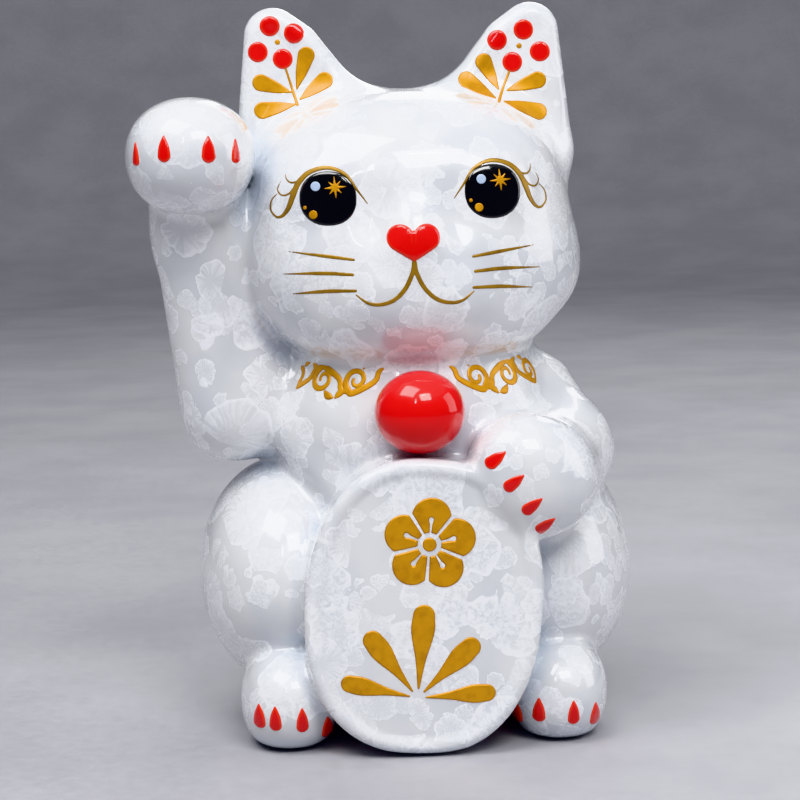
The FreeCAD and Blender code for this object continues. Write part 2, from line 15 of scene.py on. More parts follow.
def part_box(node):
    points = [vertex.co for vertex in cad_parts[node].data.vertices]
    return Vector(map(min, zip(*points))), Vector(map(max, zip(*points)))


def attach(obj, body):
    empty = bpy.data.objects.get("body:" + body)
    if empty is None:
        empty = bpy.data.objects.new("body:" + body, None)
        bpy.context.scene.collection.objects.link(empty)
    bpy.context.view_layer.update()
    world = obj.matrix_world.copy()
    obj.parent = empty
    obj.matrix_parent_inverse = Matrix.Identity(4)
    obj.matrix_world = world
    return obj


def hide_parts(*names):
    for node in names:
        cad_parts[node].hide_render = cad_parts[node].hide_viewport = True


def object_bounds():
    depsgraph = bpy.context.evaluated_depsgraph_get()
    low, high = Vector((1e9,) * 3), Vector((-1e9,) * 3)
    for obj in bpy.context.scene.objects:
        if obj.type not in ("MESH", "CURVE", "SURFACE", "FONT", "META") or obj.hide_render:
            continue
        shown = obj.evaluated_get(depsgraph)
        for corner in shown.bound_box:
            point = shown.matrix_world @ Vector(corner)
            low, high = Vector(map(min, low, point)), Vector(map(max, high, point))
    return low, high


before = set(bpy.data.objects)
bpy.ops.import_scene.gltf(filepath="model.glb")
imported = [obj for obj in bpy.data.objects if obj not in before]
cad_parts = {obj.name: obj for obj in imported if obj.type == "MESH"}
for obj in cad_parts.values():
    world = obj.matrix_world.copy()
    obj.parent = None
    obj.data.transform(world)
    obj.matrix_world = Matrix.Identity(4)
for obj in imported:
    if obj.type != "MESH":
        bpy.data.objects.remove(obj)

CAD_BOX = [list(corner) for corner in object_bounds()]
MM = 0.001
LEFT, RIGHT = 1, -1  # the cat's own sides, as signs of X
VOXEL = 1.15


# ---------------------------------------- places from the frame, in millimetres


def low(node):
    return np.array(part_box(node)[0]) / MM


def high(node):
    return np.array(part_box(node)[1]) / MM


def rotation(axis, degrees):
    return np.array(Matrix.Rotation(math.radians(degrees), 3, axis))


# ---------------------------------------- distance fields. p is three arrays that broadcast


def lump(p, centre, radii, turn=None, power=2):
    """An ellipsoid, which may be turned by a 3 x 3 matrix. A power over 2 makes it squarer."""
    q = [p[i] - centre[i] for i in range(3)]
    if turn is not None:
        q = [sum(turn[j][i] * q[j] for j in range(3)) for i in range(3)]
    q = [np.abs(q[i]) + 1e-3 for i in range(3)]
    near = sum((q[i] / radii[i]) ** power for i in range(3)) ** (1 / power)
    steep = np.sqrt(sum((q[i] ** (power - 1) / radii[i] ** power) ** 2 for i in range(3)))
    return (near - 1) * near ** (power - 1) / np.maximum(steep, 1e-6)


def limb(p, start, end, start_radius, end_radius):
    """A tapered rod with round ends."""
    run = np.asarray(end, float) - np.asarray(start, float)
    along = sum((p[i] - start[i]) * run[i] for i in range(3)) / (run @ run)
    along = np.clip(along, 0, 1)
    away = np.sqrt(sum((p[i] - start[i] - along * run[i]) ** 2 for i in range(3)))
    return away - (start_radius + (end_radius - start_radius) * along)


def join(a, b, soft):
    """The union of two fields, with a fillet about as wide as soft."""
    blend = np.maximum(soft - np.abs(a - b), 0) / soft
    return np.minimum(a, b) - blend * blend * soft / 4


def carve(a, b, soft):
    """Field a with b taken out and the edge rounded."""
    return -join(-a, b, soft)


def smooth_step(value, start, end):
    """0 below start, 1 above end, and an even curve between."""
    t = np.clip((value - start) / (end - start), 0, 1)
    return t * t * (3 - 2 * t)


def polygon(u, v, corners):
    """The signed distance to a polygon in a plane."""
    best = np.full(np.broadcast(u, v).shape, np.inf)
    inside = np.ones_like(best)
    for (au, av), (bu, bv) in zip(corners, corners[-1:] + corners[:-1]):
        eu, ev = bu - au, bv - av
        wu, wv = u - au, v - av
        t = np.clip((wu * eu + wv * ev) / (eu * eu + ev * ev), 0, 1)
        best = np.minimum(best, (wu - eu * t) ** 2 + (wv - ev * t) ** 2)
        above, below = v >= av, v < bv
        leftward = eu * wv > ev * wu
        flip = (above & below & leftward) | (~above & ~below & ~leftward)
        inside = np.where(flip, -inside, inside)
    return inside * np.sqrt(best)


# ---------------------------------------- the sculpture

BODY_TOP = high("body_shell")[2]


def even(x, soft=1.5):
    """The distance from the cat's middle plane, rounded off near it."""
    return np.sqrt(x**2 + soft**2)


def head(p):
    x, y, z = p
    mirror = (even(x), y, z)
    skull = lump(p, (0.2, 0.5, 140.5), (45.3, 41.5, 36.5), power=2.5)
    cheeks = lump(p, (0, -2, 126.5), (46.9, 42, 23), power=2.1)
    jaw = lump(p, (0, -15, 117), (35, 27, 16), power=2.3)
    form = join(join(skull, cheeks, 12), jaw, 8)
    form = join(form, lump(mirror, (8, -37, 122), (11, 8, 8.5)), 6)  # whisker pads
    form = join(form, lump(p, (0, -39, 136), (7, 5.5, 7)), 8)  # nose
    form = carve(form, lump(mirror, (11.5, -46.7, 147), (5, 5, 9)), 6)  # inner corners of the eyes
    form = join(form, lump(mirror, (21.8, -31.1, 148.4), (9.6, 5.4, 9.4)), 5)  # eyeballs
    return join(form, ear(mirror), 9)


def ear(p):
    """The ear at +X: a rounded triangle that gets thinner upwards, with a shallow dish in front."""
    x, y, z = p
    outline = polygon(x, z, [(35.8, 192), (39, 160), (14, 167), (30.4, 188.2)]) - 8
    rise = smooth_step(z, 165, 200)
    thick = 8 - 2.5 * rise
    dish = 1.0 * smooth_step(-outline, 1, 9) * smooth_step(-y, 0, 6)
    across = np.abs(y + 1 + 0.5 * rise) - thick + dish
    rounding = 4.5
    out_u, out_v = np.maximum(outline + rounding, 0), np.maximum(across + rounding, 0)
    within = np.minimum(np.maximum(outline + rounding, across + rounding), 0)
    return np.sqrt(out_u**2 + out_v**2) + within - rounding


def torso(p):
    x, y, z = p
    mirror = (np.abs(x), y, z)
    form = join(lump(p, (0, 3, 50), (43, 42, 54)), lump(p, (0, 6, 16), (47, 43, 28)), 10)
    form = join(form, limb(p, (0, 0.5, 84), (0, 0.5, 110), 36, 34.5), 6)  # neck
    form = join(form, lump(p, (0, -4, 85), (40, 35, 23), power=2.2), 8)  # chest
    form = join(form, limb(p, (-33, -18, 84), (-14, -30.5, 62), 6, 6), 5)  # fold from the arm to the plaque
    form = join(form, lump(mirror, (36.5, -3, 42), (24.8, 38, 32.5)), 4)  # haunches
    return join(form, lump(mirror, (36.7, -31, 12), (13.6, 19.3, 15), power=2.2), 3)  # feet


RAISED_PAW = (-59, -25, 160)


def raised_arm(p):
    form = limb(p, (-50.2, -8, 89), (-57, -11, 138), 14.4, 13.4)
    form = join(form, limb(p, (-46, -8, 94), (-30, -4, 92), 12, 15), 10)  # shoulder
    form = join(form, limb(p, (-57, -11, 138), (-58.6, -14, 150), 13.4, 13), 4)
    return join(form, lump(p, RAISED_PAW, (17.4, 19.5, 15.8), power=2.15), 3)


LEFT_PAW = (28, -44.5, 73)


def left_arm(p):
    turn = rotation("Y", 55)
    form = limb(p, (35, -3, 90), (41.2, -17, 76.5), 12, 13)
    form = join(form, limb(p, (41.2, -17, 76.5), (33.5, -37, 72.5), 13, 14.2), 6)
    return join(form, lump(p, LEFT_PAW, (17, 12.3, 14.6), turn, 2.15), 9)


PLAQUE_TURN = rotation("Y", 6) @ rotation("X", -3)
PLAQUE_AT = np.array([-0.6, -54.0, 40.0])
PLAQUE_HALF = (31.6, 39.6)


def plaque_frame(p):
    """Coordinates across, into and up the plaque, from the middle of its face."""
    q = [p[i] - PLAQUE_AT[i] for i in range(3)]
    return [sum(PLAQUE_TURN[j][i] * q[j] for j in range(3)) for i in range(3)]


def oval(u, v, wide, tall, power=2.35):
    """The distance to an oval a little squarer than an ellipse."""
    u, v = np.abs(u) + 1e-4, np.abs(v) + 1e-4
    grown = ((u / wide) ** power + (v / tall) ** power) ** (1 / power)
    slope_u = u ** (power - 1) / wide**power
    slope_v = v ** (power - 1) / tall**power
    return (grown - 1) / (grown ** (1 - power) * np.sqrt(slope_u**2 + slope_v**2))


def coin_plaque(p):
    u, into, v = plaque_frame(p)
    rim = oval(u, v, *PLAQUE_HALF)
    sunk = 0.8 * smooth_step(-rim, 2.6, 5.6)
    across = np.maximum(sunk - into, into - 18)
    rounding = 2.6
    out_u, out_v = np.maximum(rim + rounding, 0), np.maximum(across + rounding, 0)
    within = np.minimum(np.maximum(rim, across) + rounding, 0)
    return np.sqrt(out_u**2 + out_v**2) + within - rounding


def bell(p):
    """The bell, which stops just under the glaze behind it."""
    return np.maximum(lump(p, (0, -43.5, 91), (12.1, 11, 11.2)), -skin(p) - 0.6)


def tail(p):
    form = limb(p, (4, 41, 14), (17, 42.5, 18), 7, 7.8)
    return join(form, limb(p, (17, 42.5, 18), (26, 37, 29), 7.8, 6.5), 4)


CASTINGS = {
    "body_shell": torso,
    "head_shell": head,
    "raised_arm": raised_arm,
    "left_arm": left_arm,
    "coin_plaque": coin_plaque,
    "tail": tail,
}
FILLETS = {"head_shell": 3, "raised_arm": 4, "left_arm": 5, "coin_plaque": 2.5, "tail": 3}


def skin(p):
    """The whole cat's outer surface, standing on z = 0."""
    form = torso(p)
    for name, fillet in FILLETS.items():
        form = join(form, CASTINGS[name](p), fillet)
    return carve(form, p[2] + 0 * p[0], 2.5)


def hollows(p):
    """What is taken out of the cat: the hollows, the coin slot, the drain hole and the recess round it."""
    x, y, z = p
    head_hollow = lump(p, (0, 0, 143), (41, 37, 29.5))
    body_hollow = np.maximum(lump(p, (0, 3, 50), (39.5, 39, 49.5)), 8 - z)
    slot = np.maximum(np.maximum(np.abs(x) - 17, np.abs(z - 152) - 1.8), np.maximum(20 - y, y - 60))
    radius = np.sqrt(x**2 + y**2)
    drain = np.maximum(radius - 12.1, np.maximum(z - 10, -z - 9))
    recess = np.maximum(radius - 24, np.maximum(z - 3, -z - 9))
    hole = np.minimum(np.minimum(head_hollow, body_hollow), slot)
    return np.minimum(np.minimum(hole, drain), recess)


def cat(p):
    return carve(skin(p), hollows(p), 0.9)


# ---------------------------------------- drawings, as distances in a plane, u across and v up


def curve(points, steps=8):
    """Points along a smooth curve through a few given ones."""
    points = np.array(points, float)
    padded = np.vstack([2 * points[0] - points[1], points, 2 * points[-1] - points[-2]])
    path = []
    for before, start, end, after in zip(padded, padded[1:], padded[2:], padded[3:]):
        for t in np.arange(steps) / steps:
            square = (2 * before - 5 * start + 4 * end - after) * t**2
            cube = (3 * (start - end) + after - before) * t**3
            path.append(start + 0.5 * ((end - before) * t + square + cube))
    return np.array(path + [points[-1]])


def brush(u, v, line, steps=8):
    """The distance to a brush stroke: line is (u, v, half the width) at points that a smooth curve joins."""
    best = np.full(np.broadcast(u, v).shape, np.inf)
    path = curve(line, steps)
    for (au, av, aw), (bu, bv, bw) in zip(path, path[1:]):
        eu, ev = bu - au, bv - av
        t = np.clip(((u - au) * eu + (v - av) * ev) / (eu * eu + ev * ev + 1e-9), 0, 1)
        best = np.minimum(best, np.hypot(u - au - eu * t, v - av - ev * t) - (aw + (bw - aw) * t))
    return best


def spot(u, v, at, radius):
    return np.hypot(u - at[0], v - at[1]) - radius


def drop(u, v, at, towards, long, fat):
    """A teardrop: fat at its head, with its point long away in a direction in degrees."""
    spin = math.radians(towards)
    tip = (at[0] + long * math.cos(spin), at[1] + long * math.sin(spin))
    waist = [a + 0.45 * (b - a) for a, b in zip(at, tip)]
    return brush(u, v, [(*at, fat), (*waist, fat * 0.8), (*tip, 0.3)])


# ---------------------------------------- enamel and gold, each a drawing laid on a surface


def slope(field, points, step=0.02):
    """The field's slope at points, an N x 3 array."""
    rise = np.empty_like(points)
    for axis in range(3):
        ahead, behind = points.copy(), points.copy()
        ahead[:, axis] += step
        behind[:, axis] -= step
        rise[:, axis] = (field(ahead.T) - field(behind.T)) / (2 * step)
    return rise


def unit(vectors):
    return vectors / np.maximum(np.linalg.norm(vectors, axis=1, keepdims=True), 1e-9)


def fall(field, points, direction, rounds=50):
    """Moves points along a direction until they lie on the field's surface."""
    for _ in range(rounds):
        points = points + 0.9 * field(points.T)[:, None] * direction
    return points, unit(slope(field, points))


def from_front(field):
    """Lays a drawing on a surface as seen from the front: u is X and v is Z."""
    def lay(u, v):
        return fall(field, np.stack([u, np.full_like(u, -68.0), v], 1), np.array([0.0, 1, 0]))
    return lay


def round_neck(u, v):
    """Lays a drawing round the neck: u runs round it, 0 in front, and v is Z."""
    turn = u / NECK_RADIUS
    out = np.stack([np.sin(turn), -np.cos(turn), np.zeros_like(u)], 1)
    points = out * (NECK_RADIUS + 9)
    points[:, 2] = v
    return fall(torso, points, -out)


def on_plaque(u, v):
    """Lays a drawing on the plaque: u and v are from the middle of its face."""
    points = PLAQUE_AT + np.outer(u, PLAQUE_TURN[:, 0]) + np.outer(v, PLAQUE_TURN[:, 2])
    return fall(coin_plaque, points - 3 * PLAQUE_TURN[:, 1], PLAQUE_TURN[:, 1])


NECK_RADIUS = 36.0
SINK, ROOT = 0.03, 0.25  # how far an enamel's rim and its underside lie below the glaze


def coat(draw, lay, span, cell, thick, lip):
    """A thin raised coat as points, faces and depths: what is inside the drawing, rounded at its edge.

    span is (lowest u, lowest v, highest u, highest v). A depth is 0 at the rim and 1 from lip inwards.
    """
    us = np.arange(span[0], span[2] + cell, cell)
    vs = np.arange(span[1], span[3] + cell, cell)
    cells = np.stack(np.nonzero(draw(us[:-1, None] + cell / 2, vs[None, :-1] + cell / 2) < 0), 1)
    ring = np.array([(0, 0), (1, 0), (1, 1), (0, 1)])
    corners = cells[:, None, :] + ring[None]
    kept, quads = np.unique(corners.reshape(-1, 2), axis=0, return_inverse=True)
    quads = quads.reshape(-1, 4)
    u, v = us[kept[:, 0]], vs[kept[:, 1]]
    rim = rim_edges(quads)
    edge = np.unique(rim)
    for _ in range(4):
        near = draw(u[edge], v[edge])
        du = (draw(u[edge] + 0.01, v[edge]) - near) / 0.01
        dv = (draw(u[edge], v[edge] + 0.01) - near) / 0.01
        steep = np.maximum(du**2 + dv**2, 0.1)
        u[edge] -= np.clip(near * du / steep, -cell, cell)
        v[edge] -= np.clip(near * dv / steep, -cell, cell)
    depth = np.clip(-draw(u, v) / lip, 0, 1)
    depth[edge] = 0
    height = thick * np.sqrt(1 - (1 - depth) ** 2) - SINK
    ground, normal = lay(u, v)
    points = np.vstack([ground + normal * height[:, None], ground - normal * ROOT])
    below = quads[:, ::-1] + len(u)
    sides = np.stack([rim[:, 1], rim[:, 0], rim[:, 0] + len(u), rim[:, 1] + len(u)], 1)
    return points, np.vstack([quads, below, sides]), np.tile(depth, 2)


def rim_edges(quads):
    """The edges that only one quad has, in its direction."""
    edges = np.concatenate([quads[:, [n, (n + 1) % 4]] for n in range(4)])
    key = edges.min(1) * (quads.max() + 1) + edges.max(1)
    _, first, count = np.unique(key, return_index=True, return_counts=True)
    return edges[first[count == 1]]


EYE = {RIGHT: (-22.6, 148.1), LEFT: (21.2, 148.9)}
FACE = -0.6  # X of the face's own middle


def face_side(side, u):
    """u counted away from the nose."""
    return side * (u - FACE)


def pupil(side):
    at = EYE[side]
    return lambda u, v: oval(u - at[0], v - at[1], 7.6, 7.2, 2.2)


def glints(side):
    at = EYE[side]
    return lambda u, v: spot(u, v, (at[0] - 3.1, at[1] + 3.2), 1.3)


def sparkles(side):
    """An eight-pointed star and two dots."""
    at = EYE[side]

    def draw(u, v):
        best = spot(u, v, (at[0] - 3.9, at[1] - 4.2), 1.15)
        best = np.minimum(best, spot(u, v, (at[0] - 6, at[1] - 2.3), 0.5))
        for number in range(8):
            spin = math.radians(45 * number + 4)
            reach = 3.0 if number % 2 == 0 else 2.4
            ray = [(at[0] + 2 + r * math.cos(spin), at[1] + 2.8 + r * math.sin(spin), w)
                   for r, w in ((0, 0.55), (reach / 2, 0.3), (reach, 0.06))]
            best = np.minimum(best, brush(u, v, ray, 1))
        return best
    return draw


LID = [(10.4, -1.6, 0.18), (7.6, 2.3, 0.36), (4.7, 6.3, 0.5), (0.2, 8.1, 0.58), (-4.5, 7.1, 0.68),
       (-7.6, 4.3, 0.78), (-9.3, 0.6, 0.78), (-10.4, -2.2, 0.68), (-12, -4.4, 0.5), (-13.7, -4.8, 0.35),
       (-15.2, -3, 0.3), (-14.9, -0.4, 0.25), (-13.3, 1.4, 0.15)]
LASHES = ([(-7, 4.9, 0.3), (-9.4, 4.3, 0.3), (-10.7, 5.2, 0.25), (-11, 6.8, 0.12)],
          [(-8.4, 3.6, 0.3), (-10.2, 1.4, 0.3), (-12.2, 1, 0.28), (-13.2, 2.6, 0.22), (-12.2, 4.8, 0.12)])


def eyelid(side):
    """The gold line over an eye, which ends in a loop, and two curled lashes."""
    at = EYE[side]

    def draw(u, v):
        return np.minimum.reduce([brush(-side * (u - at[0]), v - at[1], line) for line in (LID, *LASHES)])
    return draw


WHISKERS = ([(15.8, 132, 0.4), (23, 133, 0.52), (32.8, 134.2, 0.14)],
            [(16.2, 128.1, 0.45), (24, 128.5, 0.55), (34.4, 128.2, 0.14)],
            [(15.6, 123.9, 0.42), (23.5, 123.7, 0.55), (32, 122.9, 0.16)])


def whiskers(side):
    return lambda u, v: np.minimum.reduce([brush(face_side(side, u), v, line) for line in WHISKERS])


LIP = [(0.15, 131, 0.55), (0.5, 128.4, 0.65), (2.4, 124.4, 0.65), (5.4, 121.4, 0.6), (9, 120.2, 0.55),
       (12.4, 120.6, 0.45), (15.6, 122.9, 0.2)]


def mouth(u, v):
    return np.minimum(*[brush(face_side(side, u), v, LIP) for side in (LEFT, RIGHT)])


def nose_heart(u, v):
    """A heart: two lobes and sides that curve in to a point."""
    u = np.abs(u - FACE)
    lobe = spot(u, v, (3.5, 137.5), 3.6)
    flank = brush(u, v, [(3.4, 137.2, 3.4), (1.4, 134.4, 2.1), (0, 131.7, 0.5)])
    middle_fill = brush(u, v, [(0, 138.2, 1.2), (0, 133, 1.2)], 1)
    return np.minimum(np.minimum(lobe, flank), middle_fill)


FOOT_CLAWS = {
    RIGHT: ((-45.3, 10.6), (-41, 10.4), (-33.8, 9.8), (-27, 6.2)),
    LEFT: ((24.4, 7), (29.8, 9.6), (39, 9), (45.4, 7.4)),
}


def foot_claws(side):
    def draw(u, v):
        return np.minimum.reduce([drop(u, v, (at[0], at[1] - 1.6), 90, 5, 1.7) for at in FOOT_CLAWS[side]])
    return draw


RAISED_CLAWS = ((-72.8, 160.4, 1.0), (-65.1, 162, 1.75), (-53.5, 161.6, 1.85), (-46.5, 160.6, 1.15))


def raised_claws(u, v):
    return np.minimum.reduce([drop(u, v, (x, z - 1.4), 90, 5, fat) for x, z, fat in RAISED_CLAWS])


LEFT_PAW_CLAWS = ((18.8, 79), (23.3, 73), (28, 66.6), (31.6, 60.8))


def left_paw_claws(u, v):
    return np.minimum.reduce([drop(u, v, (at[0] - 1, at[1] - 0.7), 38, 4.6, 1.7) for at in LEFT_PAW_CLAWS])


EAR_SPRAYS = {
    RIGHT: {
        "berries": ((-36.5, 194.8), (-29.9, 192.7), (-40, 187.8), (-33.2, 185.8)), "pip": (-34.5, 190.4),
        "foot": (-29.6, 173.2), "stalk": (-33, 185),
        "leaves": (((-26.7, 186.6), (-29.6, 177.5)), ((-21.9, 179.6), (-28.8, 174.6)),
                   ((-39.4, 179.4), (-31.2, 176.6)), ((-39.2, 171.8), (-30.2, 173.2))),
    },
    LEFT: {
        "berries": ((26.3, 189.5), (33.7, 192.2), (38.1, 186.1), (30.4, 183.4)), "pip": (32.4, 187.8),
        "foot": (25.9, 172.6), "stalk": (30.4, 183),
        "leaves": (((22.4, 183.6), (26.2, 176)), ((17.4, 178.8), (25, 173.6)),
                   ((37.3, 178.3), (28.6, 175.6)), ((37.2, 169.6), (27.4, 172.6))),
    },
}


def ear_berries(side):
    return lambda u, v: np.minimum.reduce([spot(u, v, at, 2.8) for at in EAR_SPRAYS[side]["berries"]])


def ear_leaves(side):
    """Four leaves round the foot of a stalk, and the pip between the berries."""
    spray = EAR_SPRAYS[side]

    def draw(u, v):
        strokes = []
        for top, tip in spray["leaves"]:
            waist = np.add(top, 0.5 * np.subtract(tip, top))
            strokes.append(brush(u, v, [(*top, 2.4), (*waist, 1.6), (*tip, 0.3)]))
        stalk = brush(u, v, [(*spray["foot"], 0.5), (*spray["stalk"], 0.3)], 1)
        return np.minimum.reduce([*strokes, stalk, spot(u, v, spray["pip"], 0.8)])
    return draw


NECK_MIDDLE = 98.9  # Z of the middle of the collar's scrolls
SCROLLS = (16.4, 26.6, 36.6)  # how far round the neck they are from the front


def scroll(flip):
    """A curl that winds outwards, runs on into a tail and carries two leaves. A flip of -1 turns it over."""
    wind = []
    for step in range(16):
        turn = math.radians(170 + 30 * step)
        reach = 0.9 + 0.165 * step
        wind.append((reach * math.cos(turn), flip * reach * math.sin(turn), 0.5 + 0.028 * step))
    tail = [(4.9, flip * -0.4, 0.8), (6, flip * 2.2, 0.75), (7.6, flip * 3.4, 0.3)]
    leaf = [(1.6, flip * 3.1, 0.4), (2.9, flip * 4.3, 1.0), (4.3, flip * 4.6, 0.3)]
    bud = [(-2.6, flip * -2.4, 0.4), (-4.2, flip * -3.5, 0.95), (-5.2, flip * -4.7, 0.3)]
    return [wind + tail, leaf, bud]


def collar_scrolls(side):
    def draw(u, v):
        best = np.full(np.broadcast(u, v).shape, np.inf)
        for number, middle in enumerate(SCROLLS):
            flip = -1 if number % 2 else 1
            for line in scroll(flip):
                best = np.minimum(best, brush(middle - side * u, v - NECK_MIDDLE, line, 4))
        return best
    return draw


def blossom(u, v):
    """A five-petalled plum blossom with parted petals, and stamens round a ring."""
    v = v - 17
    petals = np.full(np.broadcast(u, v).shape, np.inf)
    lines = petals.copy()
    for number in range(5):
        spin = math.radians(90 + 72 * number)
        petals = np.minimum(petals, spot(u, v, (7.2 * math.cos(spin), 7.2 * math.sin(spin)), 5.3))
        gap = spin + math.radians(36)
        reach = [(r * math.cos(gap), r * math.sin(gap), w) for r, w in ((2, 0.25), (12, 0.5))]
        lines = np.minimum(lines, brush(u, v, reach, 1))
        stamen = [(r * math.cos(spin), r * math.sin(spin), w) for r, w in ((3, 0.15), (5.4, 0.3), (6.6, 0.62))]
        lines = np.minimum(lines, brush(u, v, stamen))
    flower = np.maximum(np.maximum(petals, -lines), 3.1 - np.hypot(u, v))
    return np.minimum(flower, spot(u, v, (0, 0), 1.9))


def sprig(u, v):
    """Five round-ended leaves that fan out from one point."""
    v = v + 24
    best = np.full(np.broadcast(u, v).shape, np.inf)
    for spin, long, fat in ((90, 22, 3.3), (48, 19.5, 3), (132, 19.5, 3), (8, 18.5, 2.6), (172, 18.5, 2.6)):
        spin = math.radians(spin)
        line = [(r * long * math.cos(spin), r * long * math.sin(spin), w * fat)
                for r, w in ((0.12, 0.1), (0.45, 0.42), (0.8, 0.95), (1, 0.9))]
        best = np.minimum(best, brush(u, v, line, 5))
    return best


def ornament(u, v):
    return np.minimum(blossom(u, v), sprig(u, v))


def box_round(points, room=4.0):
    """A drawing's span: a box round (u, v) points with room about them."""
    u, v = [item[0] for item in points], [item[1] for item in points]
    return min(u) - room, min(v) - room, max(u) + room, max(v) + room


# How each kind of coat is made: its cell, its thickness and how far in from its rim it is rounded.
COATS = {
    "pupil": (0.3, 0.35, 1.2),
    "glint": (0.2, 0.1, 0.3),
    "star": (0.12, 0.1, 0.2),
    "eyelid": (0.16, 0.14, 0.25),
    "line": (0.18, 0.14, 0.25),
    "berry": (0.25, 0.4, 1),
    "leaf": (0.2, 0.2, 0.35),
    "claw": (0.2, 0.3, 0.9),
    "nose": (0.25, 0.5, 1.1),
    "scroll": (0.18, 0.2, 0.35),
    "ornament": (0.25, 0.3, 0.5),
}


def enamel():
    """Every enamel and gold piece as (name, node, slot, points, faces, depth)."""
    front, paw, hand, feet = from_front(head), from_front(raised_arm), from_front(left_arm), from_front(torso)
    for side, word in ((RIGHT, "right"), (LEFT, "left")):
        u, v = EYE[side]
        eye = (u - 9, v - 9, u + 9, v + 9)
        lid = (u - 17, v - 7, u + 17, v + 10)
        beard = (13 * side - 25, 118, 13 * side + 25, 139)
        spray = EAR_SPRAYS[side]
        ears = box_round([*spray["berries"], *[at for leaf in spray["leaves"] for at in leaf]])
        toes = box_round(FOOT_CLAWS[side], 7)
        for name, node, slot, draw, lay, span, kind in (
            ("pupil", f"{word}_eye_enamel", "black_enamel", pupil, front, eye, "pupil"),
            ("glint", "eye_highlights", "white_enamel", glints, over_pupil, eye, "glint"),
            ("star", "eye_sparkles", "gold_lustre", sparkles, over_pupil, eye, "star"),
            ("eyelid", "eyelid_lines", "gold_lustre", eyelid, front, lid, "eyelid"),
            ("whiskers", "whisker_lines", "gold_lustre", whiskers, front, beard, "line"),
            ("berries", f"{word}_ear_berries", "red_enamel", ear_berries, front, ears, "berry"),
            ("leaves", f"{word}_ear_leaves", "gold_lustre", ear_leaves, front, ears, "leaf"),
            ("claws", f"{word}_foot_claws", "red_enamel", foot_claws, feet, toes, "claw"),
        ):
            yield f"{word}_{name}", node, slot, *coat(draw(side), lay, span, *COATS[kind])
    snout, smile = (FACE - 9, 129, FACE + 9, 143), (-19, 117, 18, 133)
    raised, fingers = (-76, 154, -42, 170), box_round(LEFT_PAW_CLAWS, 7)
    for name, node, slot, draw, lay, span, kind in (
        ("nose", "nose_enamel", "red_enamel", nose_heart, front, snout, "nose"),
        ("mouth", "mouth_line", "gold_lustre", mouth, front, smile, "line"),
        ("raised_claws", "raised_paw_claws", "red_enamel", raised_claws, paw, raised, "claw"),
        ("hand_claws", "left_paw_claws", "red_enamel", left_paw_claws, hand, fingers, "claw"),
    ):
        yield name, node, slot, *coat(draw, lay, span, *COATS[kind])
    for side, word in ((RIGHT, "right"), (LEFT, "left")):
        band = (min(side * 9, side * 45), 94, max(side * 9, side * 45), 107)
        scrolls = coat(collar_scrolls(side), round_neck, band, *COATS["scroll"])
        yield f"{word}_scrolls", "collar_scrolls", "gold_lustre", *scrolls
    picture = coat(ornament, on_plaque, (-28, -30, 28, 31), *COATS["ornament"])
    yield "ornament", "plaque_ornament", "gold_lustre", *picture


def over_pupil(u, v):
    """Lays a drawing on the raised pupil."""
    points, normals = from_front(head)(u, v)
    return points + 0.33 * normals, normals


# ---------------------------------------- meshing


def settle(field, points, rounds=3):
    """Moves points on to the field's surface."""
    for _ in range(rounds):
        rise = slope(field, points)
        steep = np.maximum((rise**2).sum(1, keepdims=True), 0.05)
        step = field(points.T)[:, None] * rise / steep
        points = points - np.clip(step, -VOXEL, VOXEL)
    return points


def surface_net(field, lowest, highest, voxel):
    """Points and quads of the field's surface: one point in each voxel that it crosses."""
    axes = [np.arange(a - 2 * voxel, b + 3 * voxel, voxel) for a, b in zip(lowest, highest)]
    grid = np.meshgrid(*axes, indexing="ij", sparse=True)
    values = field(grid).astype(np.float32)
    solid = values < 0
    total = np.zeros(tuple(n - 1 for n in values.shape) + (3,), np.float32)
    count = np.zeros(total.shape[:3], np.float32)
    quads = []
    cells = total.shape[:3]

    def slab(array, axis, offsets):
        """array over the cells, moved by offsets on the two other axes."""
        cut = [slice(0, cells[n]) for n in range(3)]
        for n, offset in offsets.items():
            cut[n] = slice(offset, offset + cells[n])
        return array[tuple(cut)]

    for axis in range(3):
        others = [n for n in range(3) if n != axis]
        for first in (0, 1):
            for second in (0, 1):
                shift = {others[0]: first, others[1]: second}
                start = slab(values, axis, shift)
                end = slab(values, axis, {**shift, axis: 1})
                crosses = (start < 0) != (end < 0)
                along = np.where(crosses, start / np.where(crosses, start - end, 1), 0)
                total[..., axis] += np.where(crosses, along, 0)
                total[..., others[0]] += np.where(crosses, first, 0)
                total[..., others[1]] += np.where(crosses, second, 0)
                count += crosses
    used = count > 0
    index = np.full(cells, -1, np.int64)
    index[used] = np.arange(used.sum())
    corner = np.stack(np.nonzero(used), 1)
    origin = np.array([a[0] for a in axes])
    points = origin + (corner + total[used] / count[used][:, None]) * voxel

    for axis in range(3):
        one, two = (axis + 1) % 3, (axis + 2) % 3
        inner = [slice(1, cells[n]) for n in range(3)]
        inner[axis] = slice(0, cells[axis])
        ahead = list(inner)
        ahead[axis] = slice(1, cells[axis] + 1)
        before, after = solid[tuple(inner)], solid[tuple(ahead)]
        at = np.stack(np.nonzero(before != after), 1) + np.array([0 if n == axis else 1 for n in range(3)])
        leaving = solid[tuple(at.T)]
        ring = []
        for back_one, back_two in ((0, 0), (1, 0), (1, 1), (0, 1)):
            cell = at.copy()
            cell[:, one] -= back_one
            cell[:, two] -= back_two
            ring.append(index[tuple(cell.T)])
        quad = np.stack(ring, 1)
        quad[~leaving] = quad[~leaving][:, ::-1]
        quads.append(quad)
    return points, np.concatenate(quads)


